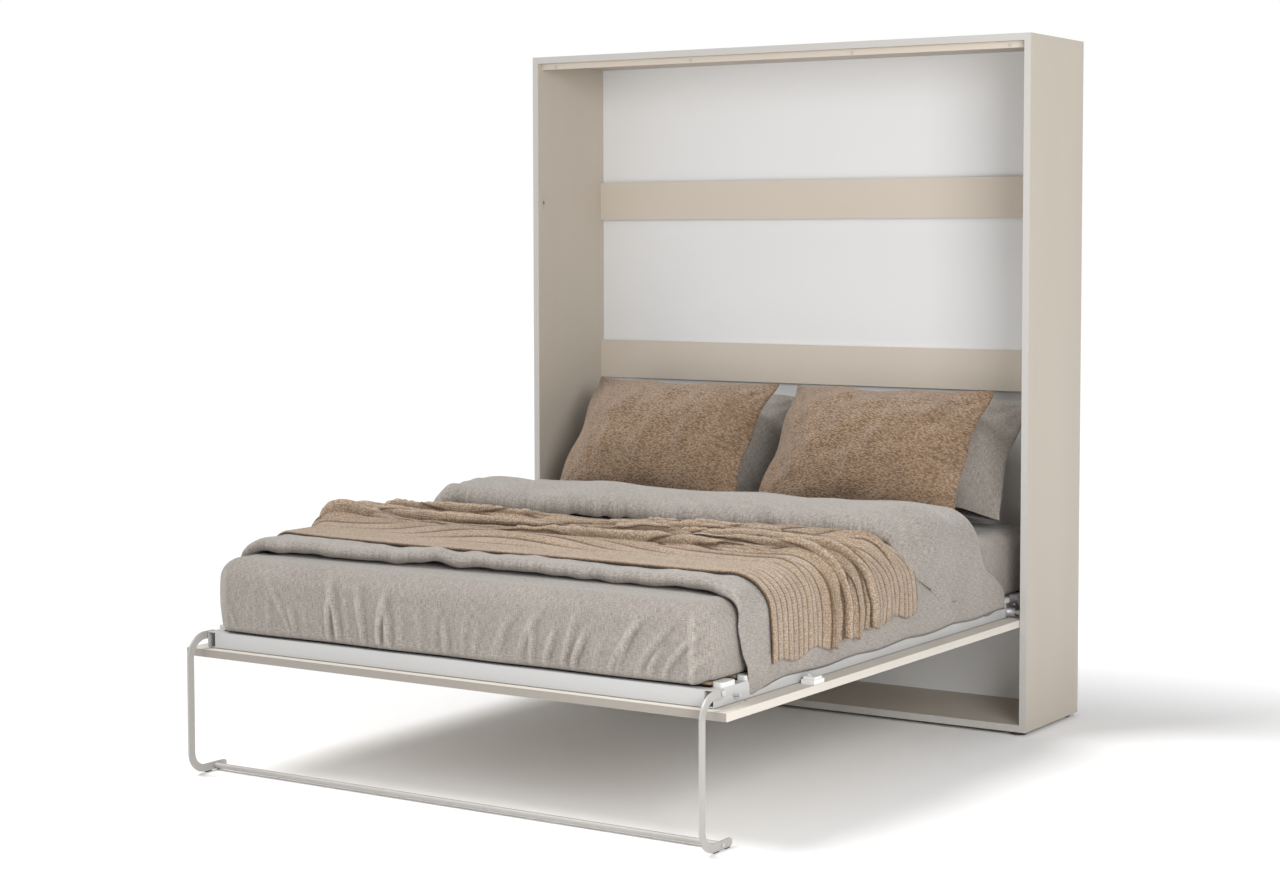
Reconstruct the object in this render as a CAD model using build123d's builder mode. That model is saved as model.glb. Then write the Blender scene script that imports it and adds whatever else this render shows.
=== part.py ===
"""Vertical wall bed: a cabinet standing on levelling feet, a tilting bed with a slatted steel
frame behind a four-board front panel, gas springs, a folding foot leg and the bedding.

Millimetres. +X to the right, +Y towards the wall, +Z up. The bed is modelled lowered, ready
to sleep in. The origin is on the floor, under the middle of the whole object.
"""

import os
from math import cos, hypot, radians, sin

from build123d import *

os.makedirs("parts", exist_ok=True)

# ---------------------------------------------------------------- driving dimensions
# cabinet
cabinet_width = 1880
cabinet_depth = 402
cabinet_height = 2170
board = 22
back_thickness = 5
back_groove = 8
foot_height = 12
foot_radius = 25
foot_stem_radius = 4
foot_inset_x = 40
foot_inset_y = 35
back_rail_height = 133
back_rail_thickness = 17
lower_rail_z = 1047
upper_rail_z = 1612
stop_rail_height = 20
stop_rail_depth = 16
stop_rail_set_back = 25
wall_hole_radius = 5
wall_hole_spacing = 1400
wall_hole_depth = 12

# tilt pivot, measured from the cabinet's front plane and from the floor
pivot_set_back = 40
pivot_height = 380
hinge_pin_radius = 8
bush_wall = 2
boss_wall = 4
running_gap = 0.05
plate_thickness = 4
hinge_plate_width = 124
hinge_plate_height = 114

# front panel and its gaps in the closed cabinet
panel_thickness = 22
panel_recess = 1
panel_side_gap = 1.5
panel_top_gap = 3
panel_bottom_gap = 6
panel_boards = 4
board_joint = 0.4

# steel frame
side_space = 56
tube_width = 30
tube_height = 45
tube_wall = 2
spacer_thickness = 2
frame_set_in = 29
frame_head_set_in = 50
slat_count = 17
slat_width = 53
slat_thickness = 8
slat_rise = 3
cap_length = 66
cap_width = 34
cap_cover = 2

# folding leg
leg_set_in = 57
leg_pivot_drop = 10
leg_reach = 93
leg_width = 22
leg_thickness = 6
leg_washer = 3
leg_bend_top = 60
leg_bend_bottom = 52
leg_toe = 46
leg_pad = 3
leg_bolt_radius = 4
crossbar_radius = 8
crossbar_wall = 1.5
stop_pin_radius = 4
stop_pin_offset = 65
stop_pin_drop = 15
stop_pin_reach = 21

# gas springs: the upper stud from the front plane and the floor, the lower from the pivot
spring_top_set_back = 300
spring_top_height = 800
spring_stud_back = 110
spring_stud_up = 10
spring_eye_radius = 12
spring_eye_width = 12
spring_stud_radius = 5
spring_radius = 14
spring_wall = 2
spring_rod_radius = 5
spring_body_end = 356
open_pivot_gap = 0.5

# slide latches
latch_set_in = 475
latch_length = 54
latch_depth = 42
latch_base_height = 12
latch_step_height = 7
latch_bolt_radius = 4
latch_travel = 14
strike_length = 40
strike_width = 16
strike_thickness = 1.5

# bedding
mattress_side_set_in = 22
mattress_foot_set_in = 4
mattress_head_set_in = 22
mattress_height = 200
mattress_corner = 60
duvet_thickness = 31
duvet_drop = 200
duvet_skirt = 18
duvet_set_in = 92
duvet_head_set_in = 508
duvet_fold_length = 480
duvet_fold_height = 48
throw_thickness = 7
throw_skirt = 3
throw_set_in = 252
throw_length = 690
throw_drop = 175
pillow_thickness = 110
pillow_lean = 36.6
knit_pillow_width = 740
knit_pillow_height = 486
linen_pillow_width = 800
linen_pillow_height = 430
pillow_centre_x = 425
knit_pillow_y = -150
linen_pillow_y = 30
bedding_gap = 1

# ---------------------------------------------------------------- worked-out places
half_width = cabinet_width / 2
inner_half = half_width - board
floor_board_top = foot_height + board
top_inner = cabinet_height - board

panel_bottom = pivot_height - pivot_set_back + panel_recess
panel_top = panel_bottom + panel_thickness
panel_half = inner_half - panel_side_gap
panel_foot = pivot_set_back - (top_inner - panel_top_gap - pivot_height)
panel_head = pivot_set_back + pivot_height - floor_board_top - panel_bottom_gap

rail_bottom = panel_top + spacer_thickness
rail_top = rail_bottom + tube_height
rail_outer = inner_half - side_space
rail_inner = rail_outer - tube_width
frame_foot = panel_foot + frame_set_in
frame_head = panel_head - frame_head_set_in

leg_pivot_y = panel_foot + leg_set_in
leg_pivot_z = rail_top - leg_pivot_drop
leg_inner = rail_outer + leg_washer
leg_outer = leg_inner + leg_thickness
leg_front = leg_pivot_y - leg_reach - leg_width / 2

slat_bottom = rail_top + slat_rise
slat_top = slat_bottom + slat_thickness
cap_top = slat_top + cap_cover
mattress_bottom = cap_top + bedding_gap
mattress_top = mattress_bottom + mattress_height
mattress_foot = frame_foot + mattress_foot_set_in
mattress_head = frame_head - mattress_head_set_in
half_mattress = rail_outer - mattress_side_set_in
duvet_top = mattress_top + bedding_gap + duvet_thickness
duvet_foot = mattress_foot + duvet_set_in
duvet_head = mattress_head - duvet_head_set_in
duvet_outer = half_mattress + bedding_gap + duvet_skirt

# y is counted from the cabinet's front plane; this puts the origin under the middle
front_y = (cabinet_depth - leg_front) / 2 - cabinet_depth


def place(x, y, z):
    """A point from its distance behind the cabinet's front plane."""
    return (x, front_y + y, z)


def save(builder, name):
    """Labels a finished piece and writes it as its own node."""
    builder.part.label = name
    export_step(builder.part, f"parts/{name}.step")


def block(x, y, z):
    """A box from its low and high bounds along each axis, y behind the front plane."""
    size = (x[1] - x[0], y[1] - y[0], z[1] - z[0])
    with Locations(place((x[0] + x[1]) / 2, (y[0] + y[1]) / 2, (z[0] + z[1]) / 2)):
        Box(*size)


def cut_block(x, y, z):
    """The same box taken away."""
    size = (x[1] - x[0], y[1] - y[0], z[1] - z[0])
    with Locations(place((x[0] + x[1]) / 2, (y[0] + y[1]) / 2, (z[0] + z[1]) / 2)):
        Box(*size, mode=Mode.SUBTRACT)


def rod_x(x, y, z, radius, mode=Mode.ADD):
    """A round bar along X from x[0] to x[1]."""
    low, high = min(x), max(x)
    with Locations(place((low + high) / 2, y, z)):
        Cylinder(radius, high - low, rotation=(0, 90, 0), mode=mode)


def rod_y(x, y, z, radius, mode=Mode.ADD):
    """A round bar along Y from y[0] to y[1]."""
    with Locations(place(x, (y[0] + y[1]) / 2, z)):
        Cylinder(radius, y[1] - y[0], rotation=(90, 0, 0), mode=mode)


def rod_z(x, y, z, radius, mode=Mode.ADD):
    """A round bar along Z from z[0] to z[1]."""
    with Locations(place(x, y, (z[0] + z[1]) / 2)):
        Cylinder(radius, z[1] - z[0], mode=mode)


sides = {"left": -1, "right": 1}


def span(side, low, high):
    """Two distances from the middle plane as a low-to-high pair on one side."""
    return (low, high) if side > 0 else (-high, -low)


# ---------------------------------------------------------------- fixing places
carcass_screw_radius = 3.5
carcass_screw_head = 6
carcass_screw_length = 50
carcass_screw_y = [60, cabinet_depth / 2, cabinet_depth - 60]

plate_screw_radius = 2.5
plate_screw_head = 5.5
plate_screw_length = 15
hinge_plate_front = pivot_set_back - hinge_pin_radius - bush_wall - boss_wall
hinge_plate_low = pivot_height - hinge_pin_radius - bush_wall - boss_wall
hinge_screws = [
    (hinge_plate_front + 34, hinge_plate_low + hinge_plate_height - 14),
    (hinge_plate_front + hinge_plate_width - 14, hinge_plate_low + hinge_plate_height - 14),
    (hinge_plate_front + hinge_plate_width - 14, hinge_plate_low + 16),
]
anchor_half_width = 24
anchor_half_height = 36
anchor_screws = [
    (spring_top_set_back, spring_top_height + 24),
    (spring_top_set_back, spring_top_height - 24),
]

rail_screw_radius = 2.5
rail_screw_bite = 16
rail_screw_end_gap = 100
board_pitch = (panel_head - panel_foot) / panel_boards
rail_screw_y = []
for i in range(panel_boards):
    rail_screw_y.append(panel_foot + i * board_pitch + rail_screw_end_gap)
    rail_screw_y.append(panel_foot + (i + 1) * board_pitch - rail_screw_end_gap)
rail_screw_y = [y for y in rail_screw_y if frame_foot < y < frame_head]
rail_screw_x = [-(rail_outer - tube_width / 2), 0, rail_outer - tube_width / 2]

latch_y = panel_foot + latch_set_in
latch_bolt_z = panel_top + latch_bolt_radius + 3
strike_y = pivot_set_back + latch_bolt_z - pivot_height
strike_z = pivot_height + pivot_set_back - latch_y

# ---------------------------------------------------------------- cabinet
# The sides stand on the bottom board and carry the top board. A groove takes the back.
for name, side in sides.items():
    inner = side * inner_half
    with BuildPart() as cabinet_side:
        block(span(side, inner_half, half_width), (0, cabinet_depth), (floor_board_top, top_inner))
        cut_block(
            span(side, inner_half, inner_half + back_groove),
            (cabinet_depth - back_thickness, cabinet_depth),
            (floor_board_top, top_inner),
        )
        for y, z in hinge_screws + anchor_screws:
            hole = (inner, inner + side * plate_screw_length)
            rod_x(hole, y, z, plate_screw_radius, Mode.SUBTRACT)
        for y in carcass_screw_y:
            middle = side * (half_width - board / 2)
            deep = carcass_screw_length - board
            low = (floor_board_top, floor_board_top + deep)
            high = (top_inner - deep, top_inner)
            rod_z(middle, y, low, carcass_screw_radius, Mode.SUBTRACT)
            rod_z(middle, y, high, carcass_screw_radius, Mode.SUBTRACT)
        with BuildSketch(Plane.YZ.offset(inner)):
            with Locations((front_y + strike_y, strike_z)):
                SlotOverall(strike_length, strike_width, rotation=90)
        extrude(amount=side * strike_thickness, mode=Mode.SUBTRACT)
        bolt_pocket = (inner, inner + side * (latch_travel + 2))
        rod_x(bolt_pocket, strike_y, strike_z, latch_bolt_radius + 2, Mode.SUBTRACT)
    save(cabinet_side, f"side_{name}")

shelf_z = {"top_panel": (top_inner, cabinet_height), "bottom_panel": (foot_height, floor_board_top)}
groove_z = {
    "top_panel": (top_inner, top_inner + back_groove),
    "bottom_panel": (floor_board_top - back_groove, floor_board_top),
}
sink = carcass_screw_head / 2
head_z = {
    "top_panel": (cabinet_height - sink, cabinet_height),
    "bottom_panel": (foot_height, foot_height + sink),
}
for name, z in shelf_z.items():
    with BuildPart() as shelf:
        block((-half_width, half_width), (0, cabinet_depth), z)
        cut_block(
            (-inner_half - back_groove, inner_half + back_groove),
            (cabinet_depth - back_thickness, cabinet_depth),
            groove_z[name],
        )
        for side in sides.values():
            for y in carcass_screw_y:
                middle = side * (half_width - board / 2)
                rod_z(middle, y, z, carcass_screw_radius, Mode.SUBTRACT)
                rod_z(middle, y, head_z[name], carcass_screw_head, Mode.SUBTRACT)
        if name == "bottom_panel":
            for side in sides.values():
                for y in (foot_inset_y, cabinet_depth - foot_inset_y):
                    x = side * (half_width - foot_inset_x)
                    rod_z(x, y, z, foot_stem_radius, Mode.SUBTRACT)
    save(shelf, name)

with BuildPart() as back_panel:
    block(
        (-inner_half - back_groove, inner_half + back_groove),
        (cabinet_depth - back_thickness, cabinet_depth),
        (floor_board_top - back_groove, top_inner + back_groove),
    )
    for side in sides.values():
        rod_y(
            side * wall_hole_spacing / 2,
            (cabinet_depth - back_thickness, cabinet_depth),
            upper_rail_z + back_rail_height / 2,
            wall_hole_radius,
            Mode.SUBTRACT,
        )
save(back_panel, "back_panel")

rail_back = cabinet_depth - back_thickness
for name, z in (("back_rail_lower", lower_rail_z), ("back_rail_upper", upper_rail_z)):
    with BuildPart() as back_rail:
        depth = (rail_back - back_rail_thickness, rail_back)
        block((-inner_half, inner_half), depth, (z, z + back_rail_height))
        if name == "back_rail_upper":
            for side in sides.values():
                rod_y(
                    side * wall_hole_spacing / 2,
                    (rail_back - wall_hole_depth, rail_back),
                    z + back_rail_height / 2,
                    wall_hole_radius,
                    Mode.SUBTRACT,
                )
    save(back_rail, name)

# The stop rail under the top board closes the gap behind the panel's upper edge.
with BuildPart() as stop_rail:
    block(
        (-inner_half, inner_half),
        (stop_rail_set_back, stop_rail_set_back + stop_rail_depth),
        (top_inner - stop_rail_height, top_inner),
    )
save(stop_rail, "stop_rail")

# Felt bumpers on the stop rail's face soften the panel's last millimetres.
bumper_thickness = 1.5
with BuildPart() as stop_bumpers:
    for x in (-inner_half + 60, -inner_half / 3, inner_half / 3, inner_half - 60):
        face = (stop_rail_set_back - bumper_thickness, stop_rail_set_back)
        rod_y(x, face, top_inner - stop_rail_height / 2 - 2, 6)
save(stop_bumpers, "stop_bumpers")

shank_z = {
    "top_panel": (cabinet_height - carcass_screw_length, cabinet_height),
    "bottom_panel": (foot_height, foot_height + carcass_screw_length),
}
with BuildPart() as carcass_screws:
    for side in sides.values():
        for y in carcass_screw_y:
            middle = side * (half_width - board / 2)
            for name in shelf_z:
                rod_z(middle, y, shank_z[name], carcass_screw_radius)
                rod_z(middle, y, head_z[name], carcass_screw_head)
save(carcass_screws, "carcass_screws")

# Four levelling feet, each a round pad on a stem that turns in the bottom board.
with BuildPart() as levelling_feet:
    for side in sides.values():
        for y in (foot_inset_y, cabinet_depth - foot_inset_y):
            x = side * (half_width - foot_inset_x)
            rod_z(x, y, (0, foot_height), foot_radius)
            rod_z(x, y, (foot_height, floor_board_top - 5), foot_stem_radius)
    chamfer(levelling_feet.edges().filter_by(GeomType.CIRCLE).group_by(Axis.Z)[0], 1.5)
save(levelling_feet, "levelling_feet")

# ---------------------------------------------------------------- tilt hardware on the cabinet
# The plate stays above and behind the panel's sweep; its low front corner is round about
# the pin, inside the circle that the panel's inner face is tangent to.
corner = hinge_pin_radius + bush_wall + boss_wall
plate_inner = inner_half - plate_thickness
with BuildPart() as hinge_plates:
    for side in sides.values():
        with BuildSketch(Plane.YZ.offset(side * plate_inner)):
            with BuildLine():
                y0 = front_y + hinge_plate_front
                z0 = hinge_plate_low
                y1 = y0 + hinge_plate_width
                z1 = z0 + hinge_plate_height
                RadiusArc((y0, z0 + corner), (y0 + corner, z0), -corner)
                Polyline((y0 + corner, z0), (y1, z0), (y1, z1), (y0, z1), (y0, z0 + corner))
            make_face()
            for y, z in hinge_screws:
                with Locations((front_y + y, z)):
                    Circle(plate_screw_radius, mode=Mode.SUBTRACT)
        extrude(amount=side * plate_thickness)
save(hinge_plates, "hinge_plates")

boss_start = rail_outer + leg_thickness
boss_length = 20
pin_tip = boss_start + 2
with BuildPart() as hinge_pins:
    for side in sides.values():
        rod_x((side * pin_tip, side * plate_inner), pivot_set_back, pivot_height, hinge_pin_radius)
        flange = (side * (plate_inner - plate_thickness), side * plate_inner)
        rod_x(flange, pivot_set_back, pivot_height, corner - 1)
save(hinge_pins, "hinge_pins")

eye_middle = rail_outer + side_space / 2
eye_low = eye_middle - spring_eye_width / 2
with BuildPart() as spring_anchors:
    for side in sides.values():
        with BuildSketch(Plane.YZ.offset(side * plate_inner)):
            with Locations((front_y + spring_top_set_back, spring_top_height)):
                RectangleRounded(2 * anchor_half_width, 2 * anchor_half_height, 8)
            for y, z in anchor_screws:
                with Locations((front_y + y, z)):
                    Circle(plate_screw_radius, mode=Mode.SUBTRACT)
        extrude(amount=side * plate_thickness)
        stud = (side * (eye_low - open_pivot_gap), side * plate_inner)
        rod_x(stud, spring_top_set_back, spring_top_height, spring_stud_radius)
        head = (side * (eye_low - open_pivot_gap - 3), side * (eye_low - open_pivot_gap))
        rod_x(head, spring_top_set_back, spring_top_height, spring_stud_radius + 3)
save(spring_anchors, "spring_anchors")

with BuildPart() as plate_screws:
    for side in sides.values():
        for y, z in hinge_screws + anchor_screws:
            shank = (side * plate_inner, side * (inner_half + plate_screw_length))
            rod_x(shank, y, z, plate_screw_radius)
            head = (side * (plate_inner - 2.5), side * plate_inner)
            rod_x(head, y, z, plate_screw_head)
save(plate_screws, "plate_screws")

with BuildPart() as strike_plates:
    for side in sides.values():
        with BuildSketch(Plane.YZ.offset(side * inner_half)):
            with Locations((front_y + strike_y, strike_z)):
                SlotOverall(strike_length, strike_width, rotation=90)
                Circle(latch_bolt_radius + 1, mode=Mode.SUBTRACT)
        extrude(amount=side * strike_thickness)
save(strike_plates, "strike_plates")

# ---------------------------------------------------------------- front panel boards
# A milled pocket beside each rail takes the leg's bend when the leg is folded.
pocket_depth = 17
pocket_near = leg_pivot_y + 13
pocket_far = leg_pivot_y + 118
for i in range(panel_boards):
    low = panel_foot + i * board_pitch + (board_joint if i else 0)
    high = panel_foot + (i + 1) * board_pitch
    with BuildPart() as front_board:
        block((-panel_half, panel_half), (low, high), (panel_bottom, panel_top))
        for y in rail_screw_y:
            if low < y < high:
                for x in rail_screw_x:
                    bite = (panel_top - rail_screw_bite, panel_top)
                    rod_z(x, y, bite, rail_screw_radius, Mode.SUBTRACT)
        if i == 0:
            for side in sides.values():
                cut_block(
                    span(side, leg_inner - 2, leg_outer + 2),
                    (pocket_near, pocket_far),
                    (panel_top - pocket_depth, panel_top),
                )
    save(front_board, f"front_board_{i + 1}")

# ---------------------------------------------------------------- steel frame
screw_ring = rail_screw_radius + 4


def tube_along_y(x, y, z):
    """A rectangular tube along Y, open at both ends."""
    block(x, y, z)
    cut_block(
        (x[0] + tube_wall, x[1] - tube_wall), y, (z[0] + tube_wall, z[1] - tube_wall)
    )


def tube_along_x(x, y, z):
    """A rectangular tube along X, open at both ends."""
    block(x, y, z)
    cut_block(
        x, (y[0] + tube_wall, y[1] - tube_wall), (z[0] + tube_wall, z[1] - tube_wall)
    )


rail_z = (rail_bottom, rail_top)
bracket_y = (pivot_set_back - 30, pivot_set_back + spring_stud_back + 30)
bracket_bolt_y = [bracket_y[0] + 60, bracket_y[1] - 46]
bracket_bolt_z = rail_top - 10
stop_pin_y = leg_pivot_y + stop_pin_offset
stop_pin_z = leg_pivot_z - stop_pin_drop
for name, side in sides.items():
    outer_wall = (side * (rail_outer - tube_wall - 0.5), side * (rail_outer + 0.5))
    both_walls = (side * (rail_inner - 0.5), side * (rail_outer + 0.5))
    with BuildPart() as side_rail:
        tube_along_y(span(side, rail_inner, rail_outer), (frame_foot, frame_head), rail_z)
        for y in rail_screw_y:
            wall = (rail_bottom, rail_bottom + tube_wall)
            rod_z(side * (rail_outer - tube_width / 2), y, wall, rail_screw_radius, Mode.SUBTRACT)
        rod_x(outer_wall, leg_pivot_y, leg_pivot_z, leg_bolt_radius, Mode.SUBTRACT)
        rod_x(both_walls, stop_pin_y, stop_pin_z, stop_pin_radius + running_gap, Mode.SUBTRACT)
        for y in bracket_bolt_y:
            rod_x(outer_wall, y, bracket_bolt_z, 3, Mode.SUBTRACT)
    save(side_rail, f"side_rail_{name}")

cross_x = (-rail_inner, rail_inner)
with BuildPart() as foot_rail:
    tube_along_x(cross_x, (frame_foot, frame_foot + tube_width), rail_z)
save(foot_rail, "foot_rail")

with BuildPart() as head_rail:
    tube_along_x(cross_x, (frame_head - tube_width, frame_head), rail_z)
save(head_rail, "head_rail")

with BuildPart() as centre_rail:
    centre_half = tube_width / 2
    inside = (frame_foot + tube_width, frame_head - tube_width)
    tube_along_y((-centre_half, centre_half), inside, rail_z)
    for y in rail_screw_y:
        if inside[0] < y < inside[1]:
            rod_z(0, y, (rail_bottom, rail_bottom + tube_wall), rail_screw_radius, Mode.SUBTRACT)
save(centre_rail, "centre_rail")

rail_screw_places = [(x, y) for x in rail_screw_x for y in rail_screw_y]
with BuildPart() as rail_spacers:
    for x, y in rail_screw_places:
        rod_z(x, y, (panel_top, rail_bottom), screw_ring + 3)
        rod_z(x, y, (panel_top, rail_bottom), rail_screw_radius, Mode.SUBTRACT)
save(rail_spacers, "rail_spacers")

with BuildPart() as rail_screws:
    for x, y in rail_screw_places:
        rod_z(x, y, (panel_top - rail_screw_bite, rail_bottom + tube_wall), rail_screw_radius)
        rod_z(x, y, (rail_bottom + tube_wall, rail_bottom + tube_wall + 3), screw_ring)
save(rail_screws, "rail_screws")

# ---------------------------------------------------------------- sprung slats in their caps
slat_first = frame_foot + 75
slat_pitch = (frame_head - 75 - slat_first) / (slat_count - 1)
slat_y = [slat_first + i * slat_pitch for i in range(slat_count)]
slat_outer = rail_outer - 12
slat_inner_end = 8
slat_z = (slat_bottom, slat_top)
fit_gap = 0.2

with BuildPart() as slats:
    for y in slat_y:
        for side in sides.values():
            x = span(side, slat_inner_end, slat_outer)
            block(x, (y - slat_width / 2, y + slat_width / 2), slat_z)
save(slats, "slats")


def cap_shell(x, y, slat_x):
    """One soft-cornered cap with a pocket for the end of a slat."""
    with BuildSketch(Plane.XY.offset(rail_top)) as outline:
        with Locations(place((x[0] + x[1]) / 2, y, 0)[:2]):
            RectangleRounded(x[1] - x[0], cap_length, 9)
    extrude(outline.sketch, amount=cap_top - rail_top)
    half = slat_width / 2 + fit_gap
    for low, high in slat_x:
        cut_block((low, high), (y - half, y + half), (slat_z[0] - fit_gap, slat_z[1] + fit_gap))


with BuildPart() as slat_caps:
    for y in slat_y:
        for side in sides.values():
            outer = span(side, rail_outer - cap_width, rail_outer - 1)
            pocket = span(side, rail_outer - cap_width, slat_outer + fit_gap)
            cap_shell(outer, y, [pocket])
save(slat_caps, "slat_caps")

with BuildPart() as slat_centre_caps:
    for y in slat_y:
        pockets = [span(side, slat_inner_end - fit_gap, 30) for side in sides.values()]
        cap_shell((-30, 30), y, pockets)
save(slat_centre_caps, "slat_centre_caps")

# ---------------------------------------------------------------- tilt brackets on the bed
bush_outer = hinge_pin_radius + bush_wall
boss_outer = bush_outer + boss_wall
stud_y = pivot_set_back + spring_stud_back
stud_z = pivot_height + spring_stud_up
for name, side in sides.items():
    with BuildPart() as tilt_bracket:
        block(span(side, rail_outer, boss_start), bracket_y, (rail_bottom + 1, rail_top))
        boss = (side * boss_start, side * (boss_start + boss_length))
        rod_x(boss, pivot_set_back, pivot_height, boss_outer)
        bore = (side * rail_outer, side * (boss_start + boss_length))
        rod_x(bore, pivot_set_back, pivot_height, bush_outer, Mode.SUBTRACT)
        stud = (side * boss_start, side * (eye_low - open_pivot_gap))
        rod_x(stud, stud_y, stud_z, spring_stud_radius)
        for y in bracket_bolt_y:
            plate = (side * rail_outer, side * boss_start)
            rod_x(plate, y, bracket_bolt_z, 3, Mode.SUBTRACT)
    save(tilt_bracket, f"tilt_bracket_{name}")

with BuildPart() as tilt_bushes:
    for side in sides.values():
        sleeve = (side * (boss_start + 0.5), side * (boss_start + boss_length))
        rod_x(sleeve, pivot_set_back, pivot_height, bush_outer)
        rod_x(sleeve, pivot_set_back, pivot_height, hinge_pin_radius + running_gap, Mode.SUBTRACT)
save(tilt_bushes, "tilt_bushes")

with BuildPart() as bracket_bolts:
    for side in sides.values():
        for y in bracket_bolt_y:
            rod_x((side * (rail_outer - 6), side * boss_start), y, bracket_bolt_z, 3)
            rod_x((side * boss_start, side * (boss_start + 3)), y, bracket_bolt_z, 5)
save(bracket_bolts, "bracket_bolts")

# ---------------------------------------------------------------- folding leg
# Each leg is a flat bar: forward from its pivot bolt, down, and back along the floor.
run_z = leg_pad + leg_width / 2
leg_y = leg_pivot_y - leg_reach
toe_y = leg_pivot_y + leg_toe - leg_width / 2
crossbar_y = leg_pivot_y
for name, side in sides.items():
    with BuildPart() as leg:
        with BuildSketch(Plane.YZ.offset(side * leg_inner)):
            with BuildLine() as leg_path:
                start = (front_y + leg_pivot_y, leg_pivot_z)
                knee = (front_y + leg_y, leg_pivot_z)
                heel = (front_y + leg_y, run_z)
                toe = (front_y + toe_y, run_z)
                FilletPolyline(start, knee, heel, toe, radius=[leg_bend_top, leg_bend_bottom])
            trace(leg_path.line, line_width=leg_width)
            for end in (start, toe):
                with Locations(end):
                    Circle(leg_width / 2)
            with Locations(start):
                Circle(leg_bolt_radius + running_gap, mode=Mode.SUBTRACT)
            with Locations((front_y + crossbar_y, run_z)):
                Circle(3, mode=Mode.SUBTRACT)
        extrude(amount=side * leg_thickness)
    save(leg, f"leg_{name}")

with BuildPart() as leg_crossbar:
    rod_x((-leg_inner, leg_inner), crossbar_y, run_z, crossbar_radius)
    rod_x((-leg_inner, leg_inner), crossbar_y, run_z, crossbar_radius - crossbar_wall, Mode.SUBTRACT)
save(leg_crossbar, "leg_crossbar")

plug_length = 22
with BuildPart() as crossbar_bolts:
    for side in sides.values():
        plug_radius = crossbar_radius - crossbar_wall
        rod_x((side * (leg_inner - plug_length), side * leg_inner), crossbar_y, run_z, plug_radius)
        rod_x((side * leg_inner, side * leg_outer), crossbar_y, run_z, 3)
        rod_x((side * leg_outer, side * (leg_outer + 2.5)), crossbar_y, run_z, 6)
save(crossbar_bolts, "crossbar_bolts")

pad_length = 23
with BuildPart() as leg_pads:
    for side in sides.values():
        x = span(side, leg_inner, leg_outer)
        for low in (toe_y - pad_length, leg_y + leg_bend_bottom + 2):
            block(x, (low, low + pad_length), (0, leg_pad))
save(leg_pads, "leg_pads")

with BuildPart() as leg_pivot_bolts:
    for side in sides.values():
        shank = (side * (rail_outer - tube_wall), side * (leg_outer + 0.5))
        rod_x(shank, leg_pivot_y, leg_pivot_z, leg_bolt_radius)
        head = (side * (leg_outer + 0.5), side * (leg_outer + 4))
        rod_x(head, leg_pivot_y, leg_pivot_z, 8)
        nut = (side * (rail_outer - tube_wall - 5), side * (rail_outer - tube_wall))
        rod_x(nut, leg_pivot_y, leg_pivot_z, 6.5)
save(leg_pivot_bolts, "leg_pivot_bolts")

with BuildPart() as leg_washers:
    for side in sides.values():
        ring = (side * rail_outer, side * (leg_inner - 0.3))
        rod_x(ring, leg_pivot_y, leg_pivot_z, 9)
        rod_x(ring, leg_pivot_y, leg_pivot_z, leg_bolt_radius, Mode.SUBTRACT)
save(leg_washers, "leg_washers")

for name, side in sides.items():
    with BuildPart() as stop_pin:
        reach = (side * (rail_inner + 6), side * (rail_outer + stop_pin_reach))
        rod_x(reach, stop_pin_y, stop_pin_z, stop_pin_radius)
    save(stop_pin, f"stop_pin_{name}")

# ---------------------------------------------------------------- gas springs
# Along each spring, distances run from the upper stud to the lower one.
run_y = stud_y - spring_top_set_back
drop_z = stud_z - spring_top_height
spring_length = hypot(run_y, drop_z)
spring_way = (0, run_y / spring_length, drop_z / spring_length)
closed_y = pivot_set_back + spring_stud_up - spring_top_set_back
closed_z = pivot_height - spring_stud_back - spring_top_height
spring_stroke = hypot(closed_y, closed_z) - spring_length
end_cap = 6
piston_length = 15
piston_low = spring_body_end - end_cap - spring_stroke - piston_length - 4
for name, side in sides.items():
    top = place(side * eye_middle, spring_top_set_back, spring_top_height)
    axis_plane = Plane(origin=top, x_dir=(1, 0, 0), z_dir=spring_way)
    from_start = (Align.CENTER, Align.CENTER, Align.MIN)

    with BuildPart(axis_plane) as spring_cylinder:
        Cylinder(spring_eye_radius, spring_eye_width, rotation=(0, 90, 0))
        Cylinder(spring_rod_radius, 24, align=from_start)
        with Locations((0, 0, 18)):
            Cylinder(spring_radius, spring_body_end - 18, align=from_start)
        with Locations((0, 0, 18 + end_cap)):
            chamber = spring_body_end - 18 - 2 * end_cap
            Cylinder(spring_radius - spring_wall, chamber, align=from_start, mode=Mode.SUBTRACT)
        with Locations((0, 0, spring_body_end - end_cap - 1)):
            gland = spring_rod_radius + running_gap
            Cylinder(gland, end_cap + 2, align=from_start, mode=Mode.SUBTRACT)
        bore = spring_stud_radius + running_gap
        Cylinder(bore, spring_eye_width + 2, rotation=(0, 90, 0), mode=Mode.SUBTRACT)
    save(spring_cylinder, f"spring_cylinder_{name}")

    with BuildPart(axis_plane) as spring_rod:
        with Locations((0, 0, piston_low)):
            piston = spring_radius - spring_wall - 2 * running_gap
            Cylinder(piston, piston_length, align=from_start)
            Cylinder(spring_rod_radius, spring_length - piston_low - 8, align=from_start)
        with Locations((0, 0, spring_length)):
            Cylinder(spring_eye_radius, spring_eye_width, rotation=(0, 90, 0))
            Cylinder(bore, spring_eye_width + 2, rotation=(0, 90, 0), mode=Mode.SUBTRACT)
    save(spring_rod, f"spring_rod_{name}")

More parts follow.
